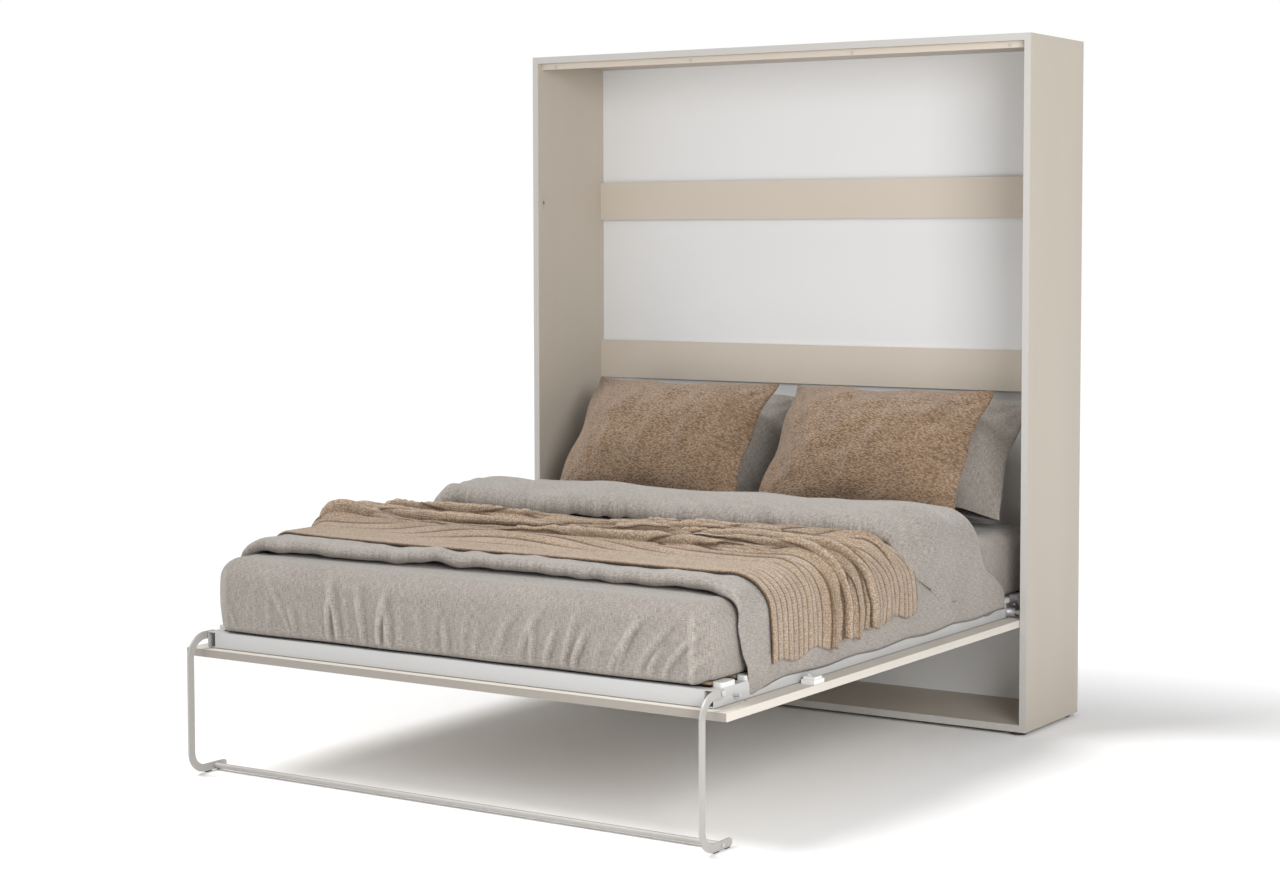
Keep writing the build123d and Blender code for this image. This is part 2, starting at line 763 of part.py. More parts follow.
# ---------------------------------------------------------------- slide latches
latch_outer = panel_half - 3
latch_step_in = 8
tab_width = 8
for name, side in sides.items():
    body_x = span(side, latch_outer - latch_depth, latch_outer)
    body_y = (latch_y - latch_length / 2, latch_y + latch_length / 2)
    base_z = (panel_top, panel_top + latch_base_height)
    step_z = (base_z[1], base_z[1] + latch_step_height)
    bolt = (latch_outer - latch_depth + 2, latch_outer - 0.5)
    tab = (bolt[0] + 5, bolt[0] + 5 + tab_width)
    with BuildPart() as latch_body:
        block(body_x, body_y, base_z)
        block(
            span(side, latch_outer - latch_depth + 2, latch_outer - latch_step_in + 5),
            (body_y[0] + latch_step_in, body_y[1] - latch_step_in),
            step_z,
        )
        fillet(latch_body.edges().filter_by(Axis.Z), 2)
        way = (side * (latch_outer - latch_depth - 1), side * (latch_outer + 1))
        rod_x(way, latch_y, latch_bolt_z, latch_bolt_radius + 0.1, Mode.SUBTRACT)
        cut_block(
            span(side, tab[0] - 0.3, tab[1] + latch_travel + 0.3),
            (latch_y - 2.3, latch_y + 2.3),
            (latch_bolt_z, step_z[1] + 1),
        )
    save(latch_body, f"latch_body_{name}")

    with BuildPart() as latch_bolt:
        rod_x((side * bolt[0], side * bolt[1]), latch_y, latch_bolt_z, latch_bolt_radius)
        block(span(side, *tab), (latch_y - 2, latch_y + 2), (latch_bolt_z, step_z[1] + 4))
    save(latch_bolt, f"latch_bolt_{name}")

# ---------------------------------------------------------------- bedding
with BuildPart() as mattress:
    block(
        (-half_mattress, half_mattress),
        (mattress_foot, mattress_head),
        (mattress_bottom, mattress_top),
    )
    fillet(mattress.edges().filter_by(Axis.Z), mattress_corner)
    fillet(mattress.faces().sort_by(Axis.Z)[-1].edges(), mattress_corner - 5)
    fillet(mattress.faces().sort_by(Axis.Z)[0].edges(), 20)
save(mattress, "mattress")

skirt_inner = half_mattress + bedding_gap
with BuildPart() as duvet:
    duvet_y = (duvet_foot, duvet_head)
    block((-duvet_outer, duvet_outer), duvet_y, (duvet_top - duvet_drop, duvet_top))
    cut_block((-skirt_inner, skirt_inner), duvet_y, (0, mattress_top + bedding_gap))
save(duvet, "duvet")

# The head end of the duvet is turned back over itself.
with BuildPart() as duvet_turnback:
    fold_y = (duvet_y[1] - duvet_fold_length, duvet_y[1])
    block((-duvet_outer, duvet_outer), fold_y, (duvet_top, duvet_top + duvet_fold_height))
save(duvet_turnback, "duvet_turnback")

throw_foot = duvet_foot - duvet_set_in + throw_set_in
throw_outer = duvet_outer + throw_skirt
with BuildPart() as knit_throw:
    throw_y = (throw_foot, throw_foot + throw_length)
    throw_top = duvet_top + throw_thickness
    throw_in = duvet_outer + bedding_gap / 4
    block((-throw_outer, throw_outer), throw_y, (throw_top - throw_drop, throw_top))
    cut_block((-throw_in, throw_in), throw_y, (0, duvet_top + bedding_gap / 4))
save(knit_throw, "knit_throw")

# Each pillow leans back: its plane runs along its width and up its leaning height.
lean_up = (0, sin(radians(pillow_lean)), cos(radians(pillow_lean)))
lean_out = (0, cos(radians(pillow_lean)), -sin(radians(pillow_lean)))
pillow_foot_z = mattress_top + pillow_thickness / 2 * sin(radians(pillow_lean)) + 4
for kind, width, height, foot in (
    ("knit", knit_pillow_width, knit_pillow_height, knit_pillow_y),
    ("linen", linen_pillow_width, linen_pillow_height, linen_pillow_y),
):
    for name, side in sides.items():
        middle = place(
            side * (pillow_centre_x if kind == "linen" else pillow_centre_x - 40),
            foot + lean_up[1] * height / 2,
            pillow_foot_z + lean_up[2] * height / 2,
        )
        with BuildPart() as pillow:
            with BuildSketch(Plane(origin=middle, x_dir=(1, 0, 0), z_dir=lean_out)):
                RectangleRounded(width, height, 40)
            extrude(amount=pillow_thickness / 2, both=True)
            fillet(pillow.faces().sort_by(SortBy.AREA)[-2:].edges(), 30)
        save(pillow, f"{kind}_pillow_{name}")
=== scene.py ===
"""The looks of the wall bed: board, steel and plastic finishes, and all the bedding.

Metres, +X right, +Y towards the wall, +Z up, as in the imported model. Hard parts keep their
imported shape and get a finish; the mattress, duvet, throw and pillows are modelled here.
"""

import math

import bpy
import numpy as np
from mathutils import Matrix, Vector


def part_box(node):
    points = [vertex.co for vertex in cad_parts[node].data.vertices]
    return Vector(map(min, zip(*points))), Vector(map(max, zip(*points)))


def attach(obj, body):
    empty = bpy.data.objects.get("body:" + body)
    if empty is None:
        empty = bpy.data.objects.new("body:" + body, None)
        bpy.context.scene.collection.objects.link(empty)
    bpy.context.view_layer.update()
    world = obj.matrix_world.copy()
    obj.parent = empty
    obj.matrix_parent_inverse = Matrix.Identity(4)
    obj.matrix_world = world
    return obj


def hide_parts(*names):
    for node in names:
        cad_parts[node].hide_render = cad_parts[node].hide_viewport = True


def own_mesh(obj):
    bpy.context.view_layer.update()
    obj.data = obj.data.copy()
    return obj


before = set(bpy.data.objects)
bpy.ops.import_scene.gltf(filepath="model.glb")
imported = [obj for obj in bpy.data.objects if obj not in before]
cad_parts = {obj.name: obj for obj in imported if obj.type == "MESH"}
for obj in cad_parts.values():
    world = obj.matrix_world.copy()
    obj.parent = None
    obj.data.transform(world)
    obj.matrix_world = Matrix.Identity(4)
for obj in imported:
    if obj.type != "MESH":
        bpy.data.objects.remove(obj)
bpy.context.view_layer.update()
bpy.ops.object.select_all(action="DESELECT")

# ---------------------------------------------------------------- camera
# A long lens at eye height, tipped a little down. A small lens shift does the rest of the
# framing, so that upright edges stay nearly upright.
camera_data = bpy.data.cameras.new("camera")
camera = bpy.data.objects.new("camera", camera_data)
bpy.context.scene.collection.objects.link(camera)
bpy.context.scene.camera = camera
camera.location = (3.9895, -6.0084, 1.5295)
camera.rotation_euler = (math.radians(86.49), 0, math.radians(32.04))
camera_data.sensor_width = 36
camera_data.lens = 66.86
camera_data.shift_x = -0.0577
camera_data.shift_y = -0.040

# ---------------------------------------------------------------- studio
# A plain pale floor, a white room, a broad soft window light from the front left, and a soft
# box on the right that opens up the hanging bedding and the cabinet's side.
bpy.context.scene.view_settings.view_transform = "Standard"
world = bpy.data.worlds.new("studio")
bpy.context.scene.world = world
world.use_nodes = True
backdrop = world.node_tree.nodes["Background"]
backdrop.inputs["Color"].default_value = (1, 1, 1, 1)
seen = world.node_tree.nodes.new("ShaderNodeLightPath")
brightness = world.node_tree.nodes.new("ShaderNodeMapRange")
brightness.inputs["To Min"].default_value = 0.50
brightness.inputs["To Max"].default_value = 1.0
world.node_tree.links.new(seen.outputs["Is Camera Ray"], brightness.inputs["Value"])
world.node_tree.links.new(brightness.outputs["Result"], backdrop.inputs["Strength"])

bpy.ops.mesh.primitive_plane_add(size=60, location=(0, 0, 0))
floor = bpy.context.active_object
floor.name = "floor"
floor_paint = bpy.data.materials.new("floor_paint")
floor_paint.use_nodes = True
floor_shader = floor_paint.node_tree.nodes["Principled BSDF"]
floor_shader.inputs["Base Color"].default_value = (0.93, 0.93, 0.93, 1)
floor_shader.inputs["Roughness"].default_value = 0.9
floor_shader.inputs["Specular IOR Level"].default_value = 0.1
floor.data.materials.append(floor_paint)


def soft_lamp(name, place, aim, width, watts):
    """A square soft box at place, turned to aim."""
    lamp_data = bpy.data.lights.new(name, "AREA")
    lamp_data.size = width
    lamp_data.energy = watts
    lamp = bpy.data.objects.new(name, lamp_data)
    bpy.context.scene.collection.objects.link(lamp)
    lamp.location = place
    lamp.rotation_euler = (Vector(aim) - Vector(place)).to_track_quat("-Z", "Y").to_euler()


sun_data = bpy.data.lights.new("window", "SUN")
sun_data.energy = 2.4
sun_data.angle = math.radians(30)
sun = bpy.data.objects.new("window", sun_data)
bpy.context.scene.collection.objects.link(sun)
sun.rotation_euler = Vector((0.46, 0.26, -0.85)).to_track_quat("-Z", "Y").to_euler()
soft_lamp("right_fill", (4.5, -3.3, 2.4), (0.2, -0.2, 0.9), 2.2, 185)

# ---------------------------------------------------------------- cabinet boards
# Sides, top, bottom and rails are chipboard faced with warm grey melamine, with a paler
# plastic band ironed onto the front edges. The facing has a fine dry grain and soft sheen.
cabinet_grey = (0.495, 0.443, 0.378)
band_grey = (0.475, 0.457, 0.432)


def shader_of(material):
    """The principled shader of a material, with its nodes switched on."""
    material.use_nodes = True
    return material.node_tree.nodes["Principled BSDF"]


def object_pattern(material, scale):
    """A mapping on Object coordinates with its own scale along each axis."""
    nodes, links = material.node_tree.nodes, material.node_tree.links
    place = nodes.new("ShaderNodeTexCoord")
    mapping = nodes.new("ShaderNodeMapping")
    mapping.inputs["Scale"].default_value = scale
    links.new(place.outputs["Object"], mapping.inputs["Vector"])
    return mapping.outputs["Vector"]


def blended(material, share, low, high):
    """A colour that goes from low to high as share goes from 0 to 1."""
    mix = material.node_tree.nodes.new("ShaderNodeMix")
    mix.data_type = "RGBA"
    mix.inputs[6].default_value = (*low, 1)
    mix.inputs[7].default_value = (*high, 1)
    material.node_tree.links.new(share, mix.inputs[0])
    return mix.outputs[2]


def tinted(material, colour, tint, share):
    """A colour multiplied by tint, as far as share goes from 0 to 1."""
    mix = material.node_tree.nodes.new("ShaderNodeMix")
    mix.data_type = "RGBA"
    mix.blend_type = "MULTIPLY"
    mix.inputs[7].default_value = (*tint, 1)
    material.node_tree.links.new(share, mix.inputs[0])
    material.node_tree.links.new(colour, mix.inputs[6])
    return mix.outputs[2]


def noise(material, where, scale, detail=4.0):
    """The value of a noise pattern."""
    pattern = material.node_tree.nodes.new("ShaderNodeTexNoise")
    pattern.inputs["Scale"].default_value = scale
    pattern.inputs["Detail"].default_value = detail
    material.node_tree.links.new(where, pattern.inputs["Vector"])
    return pattern.outputs["Fac"]


def stretched(material, value, low, high, new_low, new_high):
    """A value carried from one range to another and kept inside it."""
    ramp = material.node_tree.nodes.new("ShaderNodeMapRange")
    ramp.inputs["From Min"].default_value = low
    ramp.inputs["From Max"].default_value = high
    ramp.inputs["To Min"].default_value = new_low
    ramp.inputs["To Max"].default_value = new_high
    material.node_tree.links.new(value, ramp.inputs["Value"])
    return ramp.outputs["Result"]


def bumped(material, height, strength, depth):
    """Presses a height pattern into the surface."""
    bump = material.node_tree.nodes.new("ShaderNodeBump")
    bump.inputs["Strength"].default_value = strength
    bump.inputs["Distance"].default_value = depth
    material.node_tree.links.new(height, bump.inputs["Height"])
    material.node_tree.links.new(bump.outputs["Normal"], shader_of(material).inputs["Normal"])


def faced_board(name, face, band, grain=(3.0, 3.0, 0.5)):
    """Melamine on chipboard: fine grain along the board and a second colour on the faces turned to
    -Y, such as a paler band on the front edges.
    """
    material = bpy.data.materials.new(name)
    shader = shader_of(material)
    nodes, links = material.node_tree.nodes, material.node_tree.links
    along = object_pattern(material, grain)
    cloud = noise(material, along, 1.2, 5.0)
    fibre = noise(material, along, 160.0, 3.0)
    darker = tuple(c * 0.955 for c in face)
    toned = blended(material, stretched(material, cloud, 0.35, 0.65, 0, 1), darker, face)
    geometry = nodes.new("ShaderNodeNewGeometry")
    split = nodes.new("ShaderNodeSeparateXYZ")
    links.new(geometry.outputs["True Normal"], split.inputs["Vector"])
    front = stretched(material, split.outputs["Y"], -0.9, -0.8, 1, 0)
    edge = nodes.new("ShaderNodeMix")
    edge.data_type = "RGBA"
    edge.inputs[7].default_value = (*band, 1)
    links.new(front, edge.inputs[0])
    links.new(toned, edge.inputs[6])
    links.new(edge.outputs[2], shader.inputs["Base Color"])
    links.new(stretched(material, fibre, 0.3, 0.7, 0.46, 0.60), shader.inputs["Roughness"])
    bumped(material, fibre, 0.12, 0.0006)
    return material


def finish_node(node, material):
    """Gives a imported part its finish."""
    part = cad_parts[node]
    part.data.materials.clear()
    part.data.materials.append(material)


level_grain = (0.5, 3.0, 3.0)
rail_band = tuple(c * 1.30 for c in cabinet_grey)
upright_board = faced_board("upright_board", cabinet_grey, band_grey)
level_board = faced_board("level_board", cabinet_grey, band_grey, level_grain)
rail_board = faced_board("rail_board", cabinet_grey, rail_band, level_grain)
for node in ("side_left", "side_right"):
    finish_node(node, upright_board)
for node in ("top_panel", "bottom_panel"):
    finish_node(node, level_board)
for node in ("back_rail_lower", "back_rail_upper", "stop_rail"):
    finish_node(node, rail_board)

# ---------------------------------------------------------------- cabinet back
# A thin white-faced fibreboard in a groove round the cabinet. Its lacquer is flat and faintly
# mottled where the roller left it.
back_paint = (0.800, 0.803, 0.806)
back_white = faced_board("back_white", back_paint, back_paint)
finish_node("back_panel", back_white)

# ---------------------------------------------------------------- front panel
# Four faced boards screwed to the frame. They are the cabinet's front when the bed is up; the
# faces turned to the foot are coloured darker.
panel_colour = (0.610, 0.565, 0.505)
panel_foot_tone = (0.300, 0.272, 0.240)
panel_face = faced_board("panel_face", panel_colour, panel_foot_tone, level_grain)
for number in (1, 2, 3, 4):
    finish_node(f"front_board_{number}", panel_face)

# ---------------------------------------------------------------- steel frame
# Rectangular tube, welded and powder-coated white. The coat has a fine orange-peel skin and
# a soft shine.


def powder_coat(name, colour, roughness):
    """Sprayed and baked paint with an orange-peel skin."""
    material = bpy.data.materials.new(name)
    shader = shader_of(material)
    where = object_pattern(material, (1, 1, 1))
    cloud = noise(material, where, 6.0)
    peel = noise(material, where, 420.0, 2.0)
    toned = blended(material, cloud, tuple(c * 0.96 for c in colour), colour)
    material.node_tree.links.new(toned, shader.inputs["Base Color"])
    shader.inputs["Roughness"].default_value = roughness
    shader.inputs["Coat Weight"].default_value = 0.25
    shader.inputs["Coat Roughness"].default_value = 0.25
    bumped(material, peel, 0.15, 0.0004)
    return material


frame_white = powder_coat("frame_white", (0.490, 0.488, 0.483), 0.38)
for node in ("side_rail_left", "side_rail_right", "foot_rail", "head_rail", "centre_rail"):
    finish_node(node, frame_white)

# ---------------------------------------------------------------- slats
# Laminated beech strips, bowed by nature and clear-lacquered, two in a row, with open pores
# and darker growth lines along their length.
slat_beech = bpy.data.materials.new("slat_beech")
slat_shader = shader_of(slat_beech)
slat_length = object_pattern(slat_beech, (1.2, 26.0, 26.0))
growth = noise(slat_beech, slat_length, 3.0, 6.0)
pores = noise(slat_beech, slat_length, 22.0, 2.0)
growth_share = stretched(slat_beech, growth, 0.3, 0.7, 0, 1)
beech = blended(slat_beech, growth_share, (0.42, 0.27, 0.15), (0.62, 0.45, 0.28))
slat_beech.node_tree.links.new(beech, slat_shader.inputs["Base Color"])
slat_shader.inputs["Roughness"].default_value = 0.42
bumped(slat_beech, pores, 0.25, 0.0005)
finish_node("slats", slat_beech)

# ---------------------------------------------------------------- slat caps and white plastic
# Injection-moulded caps hold the slat ends on the rails. Latch bodies and bolts are moulded
# in a glossier grade of the same white.


def moulded(name, colour, roughness, grain=900.0):
    """Moulded plastic with a spark-eroded texture."""
    material = bpy.data.materials.new(name)
    shader = shader_of(material)
    where = object_pattern(material, (1, 1, 1))
    skin = noise(material, where, grain, 2.0)
    cloud = noise(material, where, 9.0)
    toned = blended(material, cloud, tuple(c * 0.93 for c in colour), colour)
    material.node_tree.links.new(toned, shader.inputs["Base Color"])
    shader.inputs["Roughness"].default_value = roughness
    bumped(material, skin, 0.2, 0.0003)
    return material


cap_white = moulded("cap_white", (0.72, 0.72, 0.70), 0.55)
latch_white = moulded("latch_white", (0.78, 0.78, 0.765), 0.28)
for node in ("slat_caps", "slat_centre_caps"):
    finish_node(node, cap_white)
for node in ("latch_body_left", "latch_body_right", "latch_bolt_left", "latch_bolt_right"):
    finish_node(node, latch_white)

# ---------------------------------------------------------------- dark plastic, rubber and felt
# Brown feet under the cabinet, black spacers, bushes and washers, rubber pads under the leg,
# and grey felt dots on the stop rail.
foot_brown = moulded("foot_brown", (0.045, 0.028, 0.020), 0.55)
bush_black = moulded("bush_black", (0.016, 0.016, 0.017), 0.5)
pad_rubber = moulded("pad_rubber", (0.020, 0.020, 0.020), 0.85, 500.0)
felt_grey = moulded("felt_grey", (0.52, 0.50, 0.47), 0.95, 1500.0)
finish_node("levelling_feet", foot_brown)
for node in ("rail_spacers", "tilt_bushes", "leg_washers"):
    finish_node(node, bush_black)
finish_node("leg_pads", pad_rubber)
finish_node("stop_bumpers", felt_grey)

# ---------------------------------------------------------------- zinc-plated hardware
# Tilt plates, pins, brackets, studs, strikes, bolts and screws are bright zinc over steel,
# a little cloudy, with fine rolling lines.
zinc = bpy.data.materials.new("zinc")
zinc_shader = shader_of(zinc)
zinc_cloud = noise(zinc, object_pattern(zinc, (1, 1, 1)), 35.0, 5.0)
zinc_lines = noise(zinc, object_pattern(zinc, (900.0, 60.0, 60.0)), 1.0, 2.0)
zinc_tone = blended(zinc, zinc_cloud, (0.50, 0.50, 0.51), (0.72, 0.72, 0.73))
zinc.node_tree.links.new(zinc_tone, zinc_shader.inputs["Base Color"])
zinc.node_tree.links.new(
    stretched(zinc, zinc_cloud, 0.3, 0.7, 0.26, 0.42), zinc_shader.inputs["Roughness"]
)
zinc_shader.inputs["Metallic"].default_value = 0.9
bumped(zinc, zinc_lines, 0.06, 0.0002)
for node in (
    "carcass_screws", "hinge_plates", "hinge_pins", "spring_anchors", "plate_screws", "strike_plates",
    "rail_screws", "tilt_bracket_left", "tilt_bracket_right", "bracket_bolts", "leg_pivot_bolts",
    "crossbar_bolts", "stop_pin_left", "stop_pin_right",
):
    finish_node(node, zinc)

# ---------------------------------------------------------------- gas springs
# Black-painted steel cylinders and hard-chromed rods.
spring_black = powder_coat("spring_black", (0.018, 0.018, 0.019), 0.35)
rod_chrome = bpy.data.materials.new("rod_chrome")
rod_shader = shader_of(rod_chrome)
rod_cloud = noise(rod_chrome, object_pattern(rod_chrome, (1, 1, 1)), 60.0)
rod_tone = blended(rod_chrome, rod_cloud, (0.66, 0.66, 0.68), (0.80, 0.80, 0.82))
rod_chrome.node_tree.links.new(rod_tone, rod_shader.inputs["Base Color"])
rod_shader.inputs["Metallic"].default_value = 1.0
rod_shader.inputs["Roughness"].default_value = 0.12
for side in ("left", "right"):
    finish_node(f"spring_cylinder_{side}", spring_black)
    finish_node(f"spring_rod_{side}", rod_chrome)

# ---------------------------------------------------------------- folding leg
# Bent flat bar and a round crossbar, powder-coated in a slightly greyer white than the frame.
leg_grey = powder_coat("leg_grey", (0.385, 0.370, 0.352), 0.40)
for node in ("leg_left", "leg_right", "leg_crossbar"):
    finish_node(node, leg_grey)

# ---------------------------------------------------------------- mattress
# A foam mattress in a fitted linen cover, pulled down over the frame so that the foot face is
# creased in a fan from its lower edge, with a sewn pleat at each foot corner.
linen_shade = (0.215, 0.188, 0.163)
linen_light = (0.385, 0.356, 0.326)
mattress_low, mattress_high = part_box("mattress")
cover_half = mattress_high.x
cover_top = mattress_high.z
cover_corner = 0.060
cover_crown = 0.014
crease_height = 0.0100


def linen(name, shade, light, thread=1500.0):
    """Plain-woven heathered linen: threads both ways, slubs, and pale fibres in the yarn."""
    material = bpy.data.materials.new(name)
    shader = shader_of(material)
    nodes, links = material.node_tree.nodes, material.node_tree.links
    cloth = nodes.new("ShaderNodeUVMap").outputs["UV"]

    def run(across, along):
        """Streaks that run along one thread direction."""
        mapping = nodes.new("ShaderNodeMapping")
        mapping.inputs["Scale"].default_value = (across, along, 1)
        links.new(cloth, mapping.inputs["Vector"])
        return mapping.outputs["Vector"]

    warp = noise(material, run(430.0, 48.0), 1.0, 3.0)
    weft = noise(material, run(80.0, 520.0), 1.0, 3.0)
    cloud = noise(material, cloth, 7.0, 4.0)
    both = nodes.new("ShaderNodeMath")
    both.operation = "ADD"
    links.new(warp, both.inputs[0])
    links.new(weft, both.inputs[1])
    fleck = stretched(material, both.outputs[0], 0.76, 1.22, 0, 1)
    heather = blended(material, fleck, shade, light)
    cloud_share = stretched(material, cloud, 0.3, 0.7, 0, 0.8)
    tone = tinted(material, heather, (0.90, 0.895, 0.89), cloud_share)
    links.new(tone, shader.inputs["Base Color"])
    waves = []
    for direction in ("X", "Y"):
        wave = nodes.new("ShaderNodeTexWave")
        wave.bands_direction = direction
        wave.inputs["Scale"].default_value = thread / 20.0
        wave.inputs["Distortion"].default_value = 1.5
        wave.inputs["Detail"].default_value = 1.0
        links.new(cloth, wave.inputs["Vector"])
        waves.append(wave.outputs["Fac"])
    weave = nodes.new("ShaderNodeMath")
    weave.operation = "MULTIPLY"
    links.new(waves[0], weave.inputs[0])
    links.new(waves[1], weave.inputs[1])
    height = nodes.new("ShaderNodeMath")
    height.operation = "ADD"
    links.new(weave.outputs[0], height.inputs[0])
    links.new(both.outputs[0], height.inputs[1])
    shader.inputs["Roughness"].default_value = 0.92
    shader.inputs["Specular IOR Level"].default_value = 0.2
    shader.inputs["Sheen Weight"].default_value = 0.25
    shader.inputs["Sheen Roughness"].default_value = 0.5
    bumped(material, height.outputs[0], 0.55, 0.0007)
    return material


bed_linen = linen("bed_linen", linen_shade, linen_light)


def grid_piece(name, points, uv, closed_round=False):
    """A mesh from a table of points, row by row, with its cloth coordinates in metres."""
    rows, columns = points.shape[:2]
    index = np.arange(rows * columns).reshape(rows, columns)
    if closed_round:
        index = np.hstack([index, index[:, :1]])
    faces = np.stack(
        [index[:-1, :-1], index[:-1, 1:], index[1:, 1:], index[1:, :-1]], axis=-1
    ).reshape(-1, 4)
    mesh = bpy.data.meshes.new(name)
    mesh.from_pydata(points.reshape(-1, 3).tolist(), [], faces.tolist())
    layer = mesh.uv_layers.new(name="cloth")
    corners = np.zeros(len(mesh.loops), np.int64)
    mesh.loops.foreach_get("vertex_index", corners)
    layer.data.foreach_set("uv", uv.reshape(-1, 2)[corners].astype(np.float32).ravel())
    piece = bpy.data.objects.new(name, mesh)
    bpy.context.scene.collection.objects.link(piece)
    mesh.polygons.foreach_set("use_smooth", np.ones(len(mesh.polygons), bool))
    return piece


def only(piece):
    """Makes this the one selected and active piece."""
    bpy.ops.object.select_all(action="DESELECT")
    piece.select_set(True)
    bpy.context.view_layer.objects.active = piece


def welded(piece, gap=0.0004):
    """Merges doubled points and turns every face outwards."""
    only(piece)
    bpy.ops.object.mode_set(mode="EDIT")
    bpy.ops.mesh.select_all(action="SELECT")
    bpy.ops.mesh.remove_doubles(threshold=gap)
    bpy.ops.mesh.normals_make_consistent(inside=False)
    bpy.ops.object.mode_set(mode="OBJECT")


def ripples(a, b, seed, shortest, longest, count=14, turn=(0.0, math.pi)):
    """A smooth random surface from waves of many directions, about -1 to 1."""
    random = np.random.default_rng(seed)
    total = np.zeros(np.broadcast(a, b).shape)
    for _ in range(count):
        length = shortest * (longest / shortest) ** random.random()
        heading = turn[0] + (turn[1] - turn[0]) * random.random()
        phase = 2 * math.pi * random.random()
        total = total + np.sin(
            2 * math.pi * (a * math.cos(heading) + b * math.sin(heading)) / length + phase
        )
    return total / math.sqrt(count)


def ease(value, low, high):
    """0 before low, 1 after high, smooth between."""
    share = np.clip((value - low) / (high - low), 0, 1)
    return share * share * (3 - 2 * share)


def mattress_outline(step_foot, step_long, step_head):
    """Points round the mattress, from the foot's left corner, with their outward normals."""
    left, right = -cover_half, cover_half
    foot, head = mattress_low.y, mattress_high.y
    r = cover_corner
    outline = []

    def straight(a, b, normal, step):
        count = max(2, int(round((Vector(b) - Vector(a)).length / step)))
        for i in range(count):
            point = Vector(a).lerp(Vector(b), i / count)
            outline.append((point.x, point.y, *normal))

    def corner(cx, cy, start):
        for i in range(8):
            angle = start + math.pi / 2 * i / 8
            out_x, out_y = math.cos(angle), math.sin(angle)
            outline.append((cx + r * out_x, cy + r * out_y, out_x, out_y))

    straight((left + r, foot), (right - r, foot), (0, -1), step_foot)
    corner(right - r, foot + r, -math.pi / 2)
    straight((right, foot + r), (right, head - r), (1, 0), step_long)
    corner(right - r, head - r, 0)
    straight((right - r, head), (left + r, head), (0, 1), step_head)
    corner(left + r, head - r, math.pi / 2)
    straight((left, head - r), (left, foot + r), (-1, 0), step_long)
    corner(left + r, foot + r, math.pi)
    return np.array(outline)


outline = mattress_outline(step_foot=0.0035, step_long=0.030, step_head=0.05)
edge_radius = 0.055
side_levels = np.linspace(mattress_low.z + 0.012, cover_top - edge_radius, 26)
round_over = np.linspace(0, math.pi / 2, 10)[1:]
profile = [(-0.030, mattress_low.z), (-0.008, mattress_low.z + 0.003)]
profile += [(0.0, z) for z in side_levels]
profile += [
    (-edge_radius * (1 - math.cos(a)), cover_top - edge_radius * (1 - math.sin(a)))
    for a in round_over
]
profile = np.array(profile)
lengths = np.concatenate([[0], np.cumsum(np.hypot(*np.diff(profile, axis=0).T))])
walk = np.concatenate([[0], np.cumsum(np.hypot(*np.diff(outline[:, :2], axis=0).T))])

x = outline[:, 0][None, :] + outline[:, 2][None, :] * profile[:, 0][:, None]
y = outline[:, 1][None, :] + outline[:, 3][None, :] * profile[:, 0][:, None]
z = np.repeat(profile[:, 1][:, None], len(outline), axis=1)
inward = np.array([0.015, 0.035, 0.06, 0.09, 0.13, 0.18, 0.25, 0.36, 0.55, 0.99])
spine_y = np.clip(y[-1], mattress_low.y + cover_half, mattress_high.y - cover_half)
x = np.vstack([x, x[-1] * (1 - inward[:, None])])
y = np.vstack([y, y[-1] + (spine_y - y[-1]) * inward[:, None]])
z = np.vstack([z, np.full((len(inward), len(outline)), cover_top)])
lengths = np.concatenate([lengths, lengths[-1] + inward * (cover_half - edge_radius)])
in_share = np.concatenate([np.clip(-profile[:, 0] / 0.8, 0, 1), inward])[:, None]
on_foot = ease(-outline[:, 3], 0.6, 0.98)[None, :]
height_up = (z - mattress_low.z) / (cover_top - mattress_low.z)

creases = np.zeros_like(x)
draw = np.random.default_rng(11)
for start in np.linspace(-0.80, 0.76, 34) + draw.uniform(-0.018, 0.018, 34):
    lean = 0.10 + 0.55 * start + draw.uniform(-0.16, 0.16)
    curl = draw.uniform(-0.5, 0.9) * (0.4 + abs(start))
    top = draw.uniform(0.45, 1.02)
    strength = draw.uniform(0.25, 1.0) * (1.15 if abs(start) < 0.45 else 0.85)
    rise = np.clip(z - mattress_low.z, 0, 0.21)
    path = start + lean * rise + curl * rise**2 * 4
    wide = 0.0050 + 0.0075 * height_up + draw.uniform(0, 0.003)
    gap = (x - path) / wide
    ridge = np.exp(-(gap**2)) - 0.45 * np.exp(-(((gap - 1.7) / 1.3) ** 2))
    creases += strength * ridge * (1 - ease(height_up, top * 0.55, top)) * ease(height_up, 0.02, 0.12)
swell = ripples(x, z * 2.2, 5, 0.20, 0.55, turn=(-0.3, 0.3))
push = on_foot * (crease_height * creases + 0.0022 * swell)
pleat = np.exp(-(((np.abs(x) - (cover_half - 0.048)) / 0.0045) ** 2))
pleat = pleat * (1 - ease(height_up, 0.78, 0.86))
push += on_foot * 0.0075 * pleat
side_wave = ripples(y, z * 1.5, 9, 0.10, 0.40, turn=(-0.5, 0.5))
push += (1 - on_foot) * 0.0020 * side_wave * ease(height_up, 0.05, 0.3)
bulge = 0.006 * np.sin(np.clip(height_up, 0, 1) * math.pi)
push += bulge
x = x + outline[:, 2][None, :] * push
y = y + outline[:, 3][None, :] * push
near_foot = 1 - ease(y, mattress_low.y + 0.5, mattress_low.y + 0.8)
z = z + cover_crown * ease(in_share, 0.02, 0.30) * near_foot
z[:4] = z[:4] - 0.0105 * on_foot
points = np.stack([x, y, z], axis=-1)
round_uv = np.repeat(walk[None, :], len(lengths), axis=0)
down_uv = np.repeat(lengths[:, None], len(walk), axis=1)
uv = np.stack([round_uv, down_uv], axis=-1)
mattress = grid_piece("mattress_cover", points, uv, closed_round=True)
